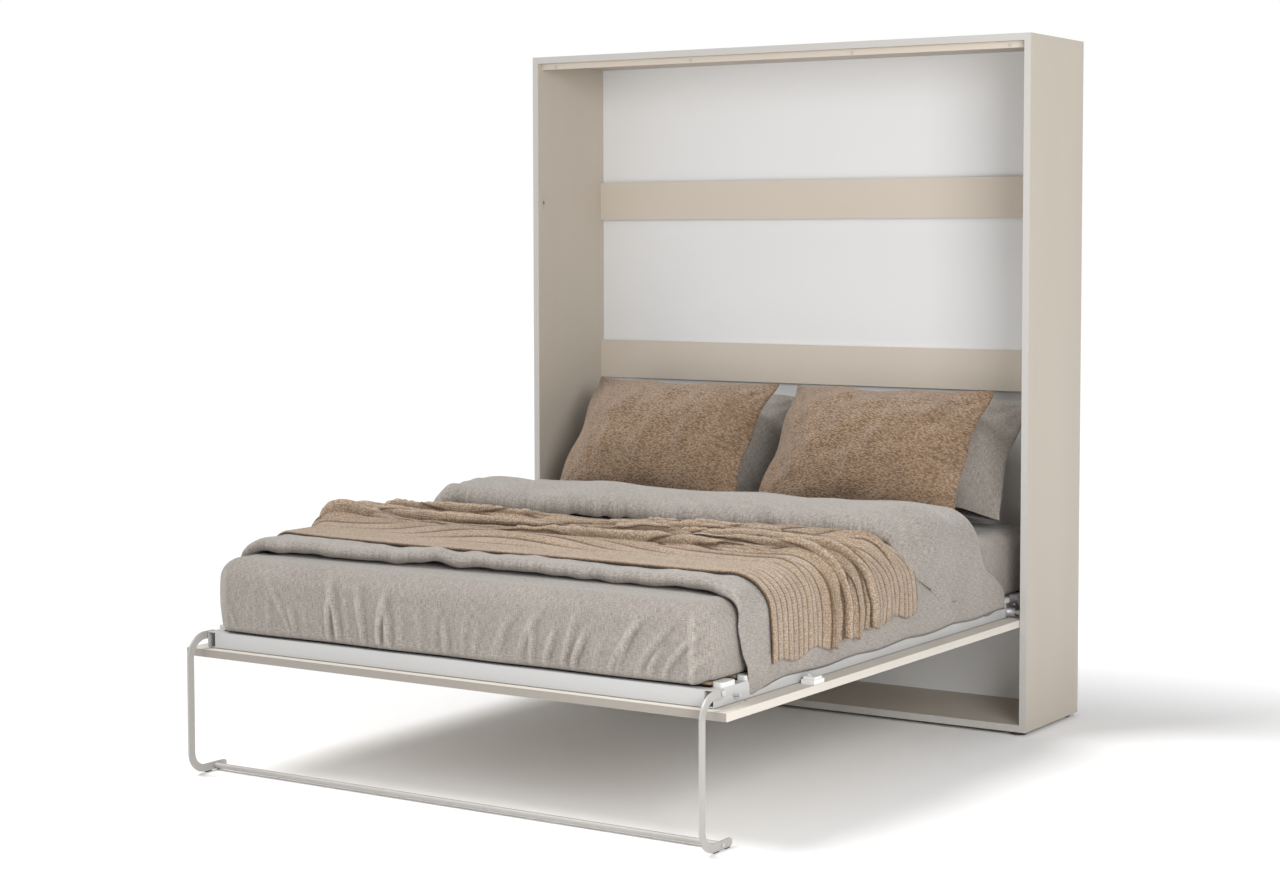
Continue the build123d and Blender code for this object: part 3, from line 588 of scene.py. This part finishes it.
# The crease and pleat pattern is stored on the cover to paint it: painted light along each ridge,
# painted shade in the valleys beside it.
crease_light_and_shade = mattress.data.attributes.new("crease_light_and_shade", "FLOAT", "POINT")
crease_light_and_shade.data.foreach_set("value", (on_foot * (creases + 1.2 * pleat)).astype(np.float32).ravel())
only(mattress)
bpy.ops.object.mode_set(mode="EDIT")
bpy.ops.mesh.select_all(action="DESELECT")
bpy.ops.mesh.select_non_manifold()
bpy.ops.mesh.edge_face_add()
bpy.ops.object.mode_set(mode="OBJECT")
welded(mattress)
cover_linen = bed_linen.copy()
cover_linen.name = "cover_linen"
ridge_line = cover_linen.node_tree.nodes.new("ShaderNodeAttribute")
ridge_line.attribute_name = "crease_light_and_shade"
cover_shader = shader_of(cover_linen)
plain_tone = cover_shader.inputs["Base Color"].links[0].from_socket
# Painted light and shade on the foot's creases and pleats: the cover's colour is made paler on the
# ridges and darker in the valleys.
painted_crease_tint = cover_linen.node_tree.nodes.new("ShaderNodeMix")
painted_crease_tint.data_type = "RGBA"
painted_crease_tint.blend_type = "MULTIPLY"
painted_crease_tint.inputs[0].default_value = 1.0
cover_linen.node_tree.links.new(plain_tone, painted_crease_tint.inputs[6])
ridge_share = stretched(cover_linen, ridge_line.outputs["Fac"], -0.35, 0.8, 0, 1)
paler = blended(cover_linen, ridge_share, (0.82, 0.81, 0.80), (1.24, 1.24, 1.24))
cover_linen.node_tree.links.new(paler, painted_crease_tint.inputs[7])
cover_linen.node_tree.links.new(painted_crease_tint.outputs[2], cover_shader.inputs["Base Color"])
mattress.data.materials.append(cover_linen)
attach(mattress, "bed")
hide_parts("mattress")

# ---------------------------------------------------------------- duvet
# A thin filled duvet in the same linen. It lies across the bed a hand's breadth behind the foot
# edge and hangs to the rails; its edges are soft rolls, and the foot corners hang in a point.
duvet_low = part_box("duvet")[0]
latch_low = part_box("latch_body_right")[0]
duvet_crown = cover_top + 0.016


def over_the_bed(s, side_x, top_z, shoulder):
    """The path across the bed at distance s from its middle: place, height, outward normal."""
    flat = side_x - shoulder
    size = np.abs(s)
    turn = np.clip((size - flat) / shoulder, 0, math.pi / 2)
    fall = np.clip(size - flat - shoulder * math.pi / 2, 0, None)
    across = np.minimum(size, flat) + shoulder * np.sin(turn)
    up = top_z - shoulder * (1 - np.cos(turn)) - fall
    return np.sign(s) * across, up, np.sign(s) * np.sin(turn), np.cos(turn)


def filled_cover(
    name, front, back, reach, side_x, top_z, shoulder, top_thick, side_thick, roll, lift, counts
):
    """A closed soft shell over the bed. front, back and reach say how far it goes; lift shapes it."""
    columns, rows = counts
    share = np.linspace(-1, 1, columns)[None, :] * np.ones((rows, 1))
    along = np.linspace(0, 1, rows)
    along = (0.5 - 0.5 * np.cos(math.pi * along) + along)[:, None] / 2 * np.ones((1, columns))
    s = share * reach(along, share)
    y = front(share) + along * (back(share) - front(share))
    x, z, nx, nz = over_the_bed(s, side_x, top_z, shoulder)
    hanging = ease(np.abs(s), side_x - shoulder, side_x + shoulder)
    out = lift(s, y, along, hanging)
    thick = top_thick * (1 - hanging) + side_thick * hanging
    from_end = np.minimum(along, 1 - along) * (back(share) - front(share))
    from_hem = (1 - np.abs(share)) * np.abs(reach(along, share))
    rounding = np.sqrt(1 - (1 - np.clip(from_end / roll, 0, 1)) ** 2)
    rounding = rounding * np.sqrt(1 - (1 - np.clip(from_hem / (0.6 * roll), 0, 1)) ** 2)
    half = thick / 2 * rounding
    outer = np.stack([x + nx * (out + half), y, z + nz * (out + half)], axis=-1)
    inner = np.stack([x + nx * (out - half), y, z + nz * (out - half)], axis=-1)
    points = np.concatenate([outer, inner[:, ::-1]], axis=1)
    uv = np.stack([s, y], axis=-1)
    uv = np.concatenate([uv, uv[:, ::-1]], axis=1)
    piece = grid_piece(name, points, uv, closed_round=True)
    welded(piece, 0.00005)
    return piece


def duvet_lift(s, y, along, hanging):
    """How far the duvet stands off: small puckers at the foot roll, soft waves down the sides."""
    foot = 1 - ease(y, duvet_low.y + 0.05, duvet_low.y + 0.20)
    puckers = ripples(s + 0.8 * y, y * 0.4, 21, 0.08, 0.26, turn=(-0.5, 0.5)) * foot * 0.0034
    broad = ripples(s, y, 22, 0.25, 0.70) * 0.0030
    middle = ripples(s * 0.8 + y, y - s * 0.3, 23, 0.05, 0.12) * 0.0016
    middle = middle * np.exp(-((s / 0.35) ** 2)) * (1 - ease(y, duvet_low.y + 0.1, duvet_low.y + 0.3))
    sides = ripples(y, s * 0.25, 24, 0.09, 0.30, turn=(-0.25, 0.25)) * hanging * 0.0009
    hem = 0.0043 * ease(np.abs(s), 1.000, 1.030)
    hem = hem + 0.0060 * ease(np.abs(s), 0.950, 1.030) * ease(y, latch_low.y - 0.06, latch_low.y)
    return puckers + broad * (1 - hanging) + middle + sides + hem


def duvet_front(share):
    """The foot edge, pulled back a little towards the hanging corners."""
    drawn_back = 0.050 * ease(np.abs(share), 0.80, 1.0)
    return duvet_low.y + 0.035 + drawn_back + 0.012 * np.sin(share * 4.0 + 0.6)


def duvet_reach(along, share):
    """Half the duvet's width as it is draped: longest at the foot corners."""
    return 1.107 - 0.020 * ease(along, 0.0, 0.09) - 0.006 * along + 0.003 * np.sin(along * 31.0)


duvet = filled_cover(
    "duvet_body",
    duvet_front,
    lambda share: duvet_low.y + 1.375 + 0.22 * ease(np.abs(share), 0.80, 0.95),
    duvet_reach,
    side_x=0.8575,
    top_z=duvet_crown + 0.014,
    shoulder=0.085,
    top_thick=0.036,
    side_thick=0.006,
    roll=0.022,
    lift=duvet_lift,
    counts=(190, 120),
)
duvet.data.materials.append(bed_linen)
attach(duvet, "bed")
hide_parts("duvet")

# ---------------------------------------------------------------- turned-back end of the duvet
# The head end is folded back over itself as a plump roll across the bed. Its sides hang down
# in loose corners that stop short of the layer beneath.
turn_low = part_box("duvet_turnback")[0]


def turnback_lift(s, y, along, hanging):
    """Plump across the top, with drag lines at the front edge and loose waves down the sides."""
    plump = 0.030 * np.sin(np.clip(along * 1.25 + 0.05, 0, 1) * math.pi) * (1 - hanging)
    broad = (0.5 + 0.5 * ripples(s, y, 31, 0.22, 0.60)) * 0.010 * (1 - hanging)
    front = 1 - ease(along, 0.10, 0.55)
    drag = ripples(s + 1.1 * y, y * 0.35, 32, 0.06, 0.24, turn=(-0.4, 0.4)) * front * 0.0042
    free = 1 - ease(y, turn_low.y + 0.22, turn_low.y + 0.34)
    loose = (0.6 + 0.4 * ripples(y + 0.3 * s, s * 0.3, 33, 0.06, 0.20, turn=(-0.3, 0.3))) * hanging
    return plump + broad + drag + loose * (0.0012 + 0.0045 * free)


def turnback_front(share):
    """The folded edge, which swings back where it hangs."""
    swing = 0.24 * ease(np.abs(share), 0.80, 1.0) ** 1.5
    return turn_low.y - 0.010 + swing + 0.014 * np.sin(share * 5 + 2)


turnback = filled_cover(
    "duvet_turned_back",
    turnback_front,
    lambda share: turn_low.y + 0.50 + 0.15 * ease(np.abs(share), 0.80, 1.0),
    lambda along, share: 1.045 + 0.070 * ease(along, 0.15, 0.80) + 0.008 * np.sin(along * 9.0 + 1.0),
    side_x=0.8620,
    top_z=duvet_crown + 0.055,
    shoulder=0.110,
    top_thick=0.064,
    side_thick=0.010,
    roll=0.036,
    lift=turnback_lift,
    counts=(200, 70),
)
turnback.data.materials.append(bed_linen)
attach(turnback, "bed")
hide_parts("duvet_turnback")

# ---------------------------------------------------------------- throw
# A camel throw in broad rib knit, bunched into long folds across the bed. It falls over both
# sides in pleats.
throw_low, throw_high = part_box("knit_throw")
throw_width = 1.16
throw_left_reach = 1.085
throw_right_reach = 1.035
rib_pitch = 0.034
throw_top = duvet_crown + 0.036
throw_side = 0.8690


def rib_knit(name, shade, light, stitch, turn=0.0, pitch=None):
    """Broad rib knit: rows of loops between sunk lines, with fuzz on the yarn, and painted shade in
    the gaps between loops and in the sunk lines.
    """
    material = bpy.data.materials.new(name)
    shader = shader_of(material)
    nodes, links = material.node_tree.nodes, material.node_tree.links
    cloth = nodes.new("ShaderNodeUVMap").outputs["UV"]
    mapping = nodes.new("ShaderNodeMapping")
    mapping.inputs["Scale"].default_value = (*stitch, 1)
    mapping.inputs["Rotation"].default_value = (0, 0, turn)
    links.new(cloth, mapping.inputs["Vector"])
    loops = nodes.new("ShaderNodeTexVoronoi")
    loops.inputs["Scale"].default_value = 1.0
    loops.inputs["Randomness"].default_value = 0.55
    links.new(mapping.outputs["Vector"], loops.inputs["Vector"])
    loop = stretched(material, loops.outputs["Distance"], 0.05, 0.75, 1, 0)
    fuzz = noise(material, cloth, 900.0, 3.0)
    cloud = noise(material, cloth, 9.0, 4.0)
    # Painted shade: the colour goes from light on the loop tops to shade in the gaps between loops.
    tone = blended(material, loop, shade, light)
    cloud_share = stretched(material, cloud, 0.3, 0.7, 0, 0.8)
    coloured = tinted(material, tone, (0.82, 0.80, 0.78), cloud_share)
    if pitch:
        split = nodes.new("ShaderNodeSeparateXYZ")
        links.new(cloth, split.inputs["Vector"])
        count = nodes.new("ShaderNodeMath")
        count.operation = "DIVIDE"
        count.inputs[1].default_value = pitch
        links.new(split.outputs["Y"], count.inputs[0])
        from_line = nodes.new("ShaderNodeMath")
        from_line.operation = "PINGPONG"
        from_line.inputs[1].default_value = 0.5
        links.new(count.outputs[0], from_line.inputs[0])
        # Painted shade in the sunk lines between the ribs.
        sunk_line_shade = stretched(material, from_line.outputs[0], 0.02, 0.16, 1, 0)
        coloured = tinted(material, coloured, (0.34, 0.28, 0.23), sunk_line_shade)
    links.new(coloured, shader.inputs["Base Color"])
    height = nodes.new("ShaderNodeMath")
    height.operation = "MULTIPLY_ADD"
    height.inputs[1].default_value = 0.25
    links.new(fuzz, height.inputs[0])
    links.new(loop, height.inputs[2])
    shader.inputs["Roughness"].default_value = 0.95
    shader.inputs["Specular IOR Level"].default_value = 0.15
    shader.inputs["Sheen Weight"].default_value = 0.30
    bumped(material, height.outputs[0], 0.9, 0.0022)
    return material


throw_shade = (0.265, 0.190, 0.128)
throw_light = (0.590, 0.460, 0.345)
throw_knit = rib_knit("throw_knit", throw_shade, throw_light, (150.0, 300.0), pitch=rib_pitch)
throw_rows, throw_columns = 200, 220
v = np.linspace(0, 1, throw_columns)[None, :] * np.ones((throw_rows, 1))
u = np.linspace(-throw_left_reach, throw_right_reach, throw_rows)
u = u[:, None] * np.ones((1, throw_columns))
on_side = ease(np.abs(u), 0.80, 0.93)
right = ease(u, 0.70, 1.00)
left = ease(-u, 0.55, 0.95)
front_edge = -0.796 + 0.055 * right + 0.05 * left + 0.006 * np.sin(u * 7)
back_edge = -0.070 + 0.160 * right - 0.10 * left + 0.030 * np.sin(u * 3.1 + 0.5)
bunch = v + 0.055 * np.sin(2 * math.pi * v) * (1 - 0.6 * right)
y = front_edge + (back_edge - front_edge) * bunch
x, z, nx, nz = over_the_bed(u, throw_side, throw_top, 0.095)
flat_strip = ease(v, 0.20, 0.34)
folds = np.zeros_like(u)
slide = np.zeros_like(u)
draw = np.random.default_rng(41)
fold_places = (0.225, 0.335, 0.435, 0.535, 0.635, 0.73, 0.82, 0.91)
for number, place in enumerate(fold_places):
    wander = 0.034 * np.sin(u * draw.uniform(1.6, 3.6) + draw.uniform(0, 6.3))
    wander += 0.014 * np.sin(u * draw.uniform(6, 11) + draw.uniform(0, 6.3))
    wide = draw.uniform(0.022, 0.034) * (1 + 0.25 * np.sin(u * 3 + draw.uniform(0, 6.3)))
    tall = draw.uniform(0.60, 1.0) * (
        0.70 + 0.30 * np.sin(u * draw.uniform(2, 5) + draw.uniform(0, 6.3))
    )
    pleated = 1.0 if 1 <= number <= 4 else 0.08
    tall = tall * (1 - on_side) + (0.25 * tall + 0.80) * pleated * on_side
    gap = (v - place - wander * (1 - 0.8 * on_side)) / (wide * (1 - 0.25 * on_side))
    folds += tall * np.exp(-(gap**2))
    slide += tall * gap * np.exp(-(gap**2))
fold_height = 0.042 + 0.018 * left * (1 - ease(-u, 0.85, 0.95))
fold_height = fold_height * (1 - on_side) + 0.029 * on_side
creased = 0.5 + 0.5 * ripples(u, v * 0.8, 43, 0.05, 0.20)
out = fold_height * folds + 0.004 * creased * flat_strip
rib_share = v * throw_width / rib_pitch
ribs = np.abs(np.sin(math.pi * rib_share))
out = out + 0.0068 * ribs**0.5
y = y - 0.026 * slide * (1 - 0.35 * on_side)
hem_swing = 0.016 * np.sin(v * 31 + 0.4) * right
x = x + nx * out
z = z + nz * out
low_share = ease(np.abs(u), 0.90, 1.035)
z = z - 0.036 * (1 - v) * right * low_share + hem_swing * low_share * 0.6
points = np.stack([x, y, z], axis=-1)
uv = np.stack([u, v * throw_width], axis=-1)
throw = grid_piece("throw", points, uv)
only(throw)
bpy.ops.object.mode_set(mode="EDIT")
bpy.ops.mesh.select_all(action="SELECT")
bpy.ops.mesh.normals_make_consistent(inside=False)
bpy.ops.object.mode_set(mode="OBJECT")
if throw.data.polygons[throw_columns * throw_rows // 2].normal.z < 0:
    throw.data.flip_normals()
thicken = throw.modifiers.new("yarn", "SOLIDIFY")
thicken.thickness = 0.006
thicken.offset = -1
thicken.use_rim = True
bpy.ops.object.modifier_apply(modifier="yarn")
throw.data.materials.append(throw_knit)
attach(throw, "bed")
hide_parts("knit_throw")

# ---------------------------------------------------------------- pillows
# Two linen pillows lean on the cabinet's back and two coarse-knit ones lean on them. Each is a
# flat case swollen by its filling, with corners that stay flat as ears and a seam all round.
pillow_lean = math.radians(36.6)
stuffing_frames = 21
largest_swell = 0.026


def stuffed_case(name, width, height, full, seed):
    """A sewn case blown up by cloth simulation; returns it lying flat about the origin."""
    columns, rows = 72, int(72 * height / width)
    a = np.linspace(-1, 1, columns)[None, :] * np.ones((rows, 1))
    b = np.linspace(-1, 1, rows)[:, None] * np.ones((1, columns))
    wide = a * width / 2 * (1 - 0.055 * (1 - b**2) * np.abs(a) ** 3)
    tall = b * height / 2 * (1 - 0.150 * (1 - a**2) * np.abs(b) ** 2)
    plump = ((1 - np.abs(a) ** 2.4) * (1 - np.abs(b) ** 2.2)) ** 0.85
    slack = ripples(wide, tall, seed, 0.06, 0.22) * 0.006
    for corner_a, corner_b in ((-1, -1), (-1, 1), (1, -1), (1, 1)):
        away_a, away_b = (a - corner_a) * width / 2, (b - corner_b) * height / 2
        spread = np.arctan2(np.abs(away_b), np.abs(away_a))
        far = np.hypot(away_a, away_b)
        fan = 0.010 * np.cos(spread * 11 + seed) * np.exp(-((far / 0.16) ** 2))
        slack = slack + fan * ease(far, 0.01, 0.07)
    crown = 0.004 + plump * full / 2 + slack * plump**0.6
    seam = 0.010 * np.sin(wide * 23 + seed) * (np.abs(b) ** 6)
    seam = seam + 0.010 * np.sin(tall * 27 + seed) * (np.abs(a) ** 6)
    front = np.stack([wide, tall, crown + seam], axis=-1)
    rear = np.stack([wide, tall, seam - crown * 0.8], axis=-1)
    uv = np.stack([a * width / 2, b * height / 2], axis=-1)
    points = np.concatenate([front, rear[:, ::-1]], axis=1)
    uv = np.concatenate([uv, uv[:, ::-1]], axis=1)
    piece = grid_piece(name, points, uv, closed_round=True)
    welded(piece, 0.0004)
    cloth = piece.modifiers.new("stuffing", "CLOTH")
    cloth.settings.quality = 5
    cloth.settings.mass = 0.25
    cloth.settings.tension_stiffness = 12
    cloth.settings.compression_stiffness = 12
    cloth.settings.shear_stiffness = 6
    cloth.settings.bending_stiffness = 0.25
    cloth.settings.use_pressure = True
    cloth.settings.uniform_pressure_force = 4.0
    cloth.settings.effector_weights.gravity = 0
    cloth.collision_settings.use_collision = False
    before = np.zeros(len(piece.data.vertices) * 3)
    piece.data.vertices.foreach_get("co", before)
    for step in range(1, stuffing_frames + 1):
        bpy.context.scene.frame_set(step)
    only(piece)
    bpy.ops.object.modifier_apply(modifier="stuffing")
    after = np.zeros(len(before))
    piece.data.vertices.foreach_get("co", after)
    before, after = before.reshape(-1, 3), after.reshape(-1, 3)
    move = after - before
    far = np.linalg.norm(move, axis=1, keepdims=True)
    after = before + move * np.minimum(1, largest_swell / np.maximum(far, 1e-9))
    piece.data.vertices.foreach_set("co", after.ravel())
    bpy.context.scene.frame_set(1)
    smooth = piece.modifiers.new("smooth", "SUBSURF")
    smooth.levels = 1
    smooth.render_levels = 1
    only(piece)
    bpy.ops.object.modifier_apply(modifier="smooth")
    return piece


def lean_pillow(piece, x, foot_y, foot_z, height, lean, roll=0.0, droop=0.02):
    """Stands a flat pillow on its long edge and leans it back towards the wall."""
    points = np.zeros(len(piece.data.vertices) * 3)
    piece.data.vertices.foreach_get("co", points)
    points = points.reshape(-1, 3)
    share = points[:, 1] / (height / 2)
    points[:, 2] -= droop * share**2
    turn = Matrix.Translation((x, foot_y, foot_z)) @ Matrix.Rotation(roll, 4, "Y")
    turn = turn @ Matrix.Rotation(math.pi / 2 - lean, 4, "X") @ Matrix.Translation((0, height / 2, 0))
    turned = points @ np.array(turn.to_3x3()).T + np.array(turn.translation)
    piece.data.vertices.foreach_set("co", turned.ravel())
    piece.data.update()


linen_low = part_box("linen_pillow_left")[0]
knit_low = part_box("knit_pillow_left")[0]
linen_width, linen_height, linen_full = 0.82, 0.445, 0.17
knit_width, knit_height, knit_full = 0.78, 0.485, 0.18
pillow_shade = (0.105, 0.062, 0.033)
pillow_light = (0.500, 0.350, 0.232)
pillow_knit = rib_knit("pillow_knit", pillow_shade, pillow_light, (95.0, 320.0), turn=1.0)
for side, x, roll, seed in (("left", -0.425, 0.02, 51), ("right", 0.428, -0.015, 52)):
    pillow = stuffed_case(f"linen_pillow_case_{side}", linen_width, linen_height, linen_full, seed)
    lean_pillow(pillow, x, linen_low.y + 0.06, cover_top + 0.040, linen_height, pillow_lean, roll)
    pillow.data.materials.append(bed_linen)
    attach(pillow, "bed")
    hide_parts(f"linen_pillow_{side}")
    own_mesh(pillow)
for side, x, roll, seed in (("left", -0.412, 0.0, 61), ("right", 0.385, 0.0, 62)):
    pillow = stuffed_case(f"knit_pillow_case_{side}", knit_width, knit_height, knit_full, seed)
    lean_pillow(pillow, x, knit_low.y + 0.05, cover_top + 0.055, knit_height, pillow_lean, roll)
    pillow.data.materials.append(pillow_knit)
    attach(pillow, "bed")
    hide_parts(f"knit_pillow_{side}")
    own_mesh(pillow)

# Bedding is pressed flat between the mattress and the cabinet's back when the bed closes; here each
# piece only gets its own copy of its mesh.
for piece in (duvet, turnback, throw):
    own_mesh(piece)
